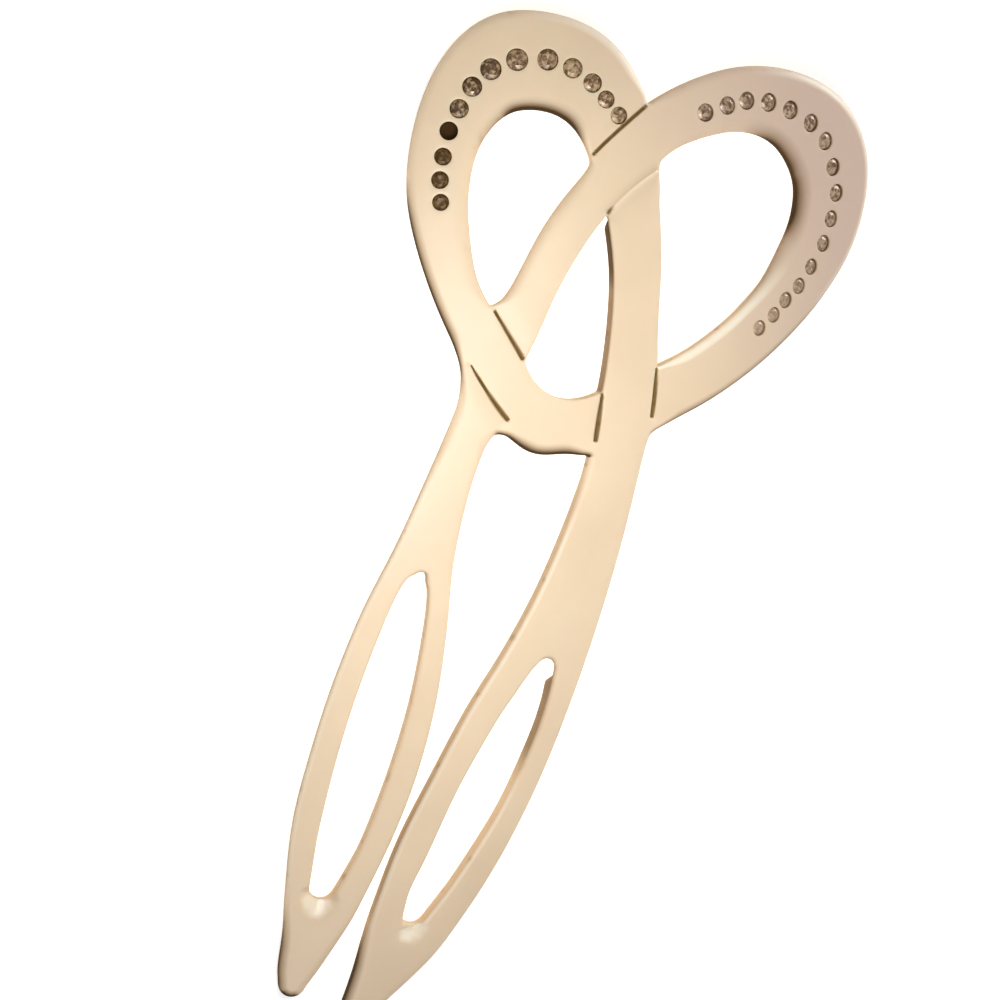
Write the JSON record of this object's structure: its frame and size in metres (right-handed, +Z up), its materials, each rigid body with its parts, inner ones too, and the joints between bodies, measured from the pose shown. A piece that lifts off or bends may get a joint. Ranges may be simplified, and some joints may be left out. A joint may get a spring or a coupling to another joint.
{
  "type": "hair pick",
  "caption": "Two-pronged hair pick sawn and bent from one plastic sheet, with slotted prongs and a heart-shaped top of one crossing ribbon set with small stones.",
  "frame": {"origin": "on the surface that the pick lies on, under the middle of its box", "axes": "+Z up out of the bent face, +Y along the pick toward the heart, +X across it to the right as seen from above"},
  "size_m": [0.068, 0.1472, 0.0083],
  "materials": {
    "cream_plastic": "polished cream plastic sheet, softly mottled, brown in the carved lines",
    "clear_stone": "cut glass stone on foil",
    "dull_stone": "cut glass stone whose foil has darkened",
    "rosy_stone": "cut glass stone on foil that has browned"
  },
  "bodies": {
    "root": {"body": "cream_plastic", "left_stone_01": "clear_stone", "left_stone_02": "clear_stone", "left_stone_03": "clear_stone", "left_stone_04": "clear_stone", "left_stone_05": "clear_stone", "left_stone_06": "clear_stone", "left_stone_07": "clear_stone", "left_stone_08": "clear_stone", "left_stone_09": "clear_stone", "left_stone_10": "dull_stone", "left_stone_11": "dull_stone", "left_stone_12": "dull_stone", "right_stone_01": "rosy_stone", "right_stone_02": "rosy_stone", "right_stone_03": "rosy_stone", "right_stone_04": "rosy_stone", "right_stone_05": "rosy_stone", "right_stone_06": "rosy_stone", "right_stone_07": "rosy_stone", "right_stone_08": "rosy_stone", "right_stone_09": "rosy_stone", "right_stone_10": "rosy_stone", "right_stone_11": "rosy_stone", "right_stone_12": "rosy_stone", "right_stone_13": "rosy_stone", "right_stone_14": "rosy_stone", "right_stone_15": "rosy_stone", "right_stone_16": "rosy_stone"}
  },
  "joints": []
}
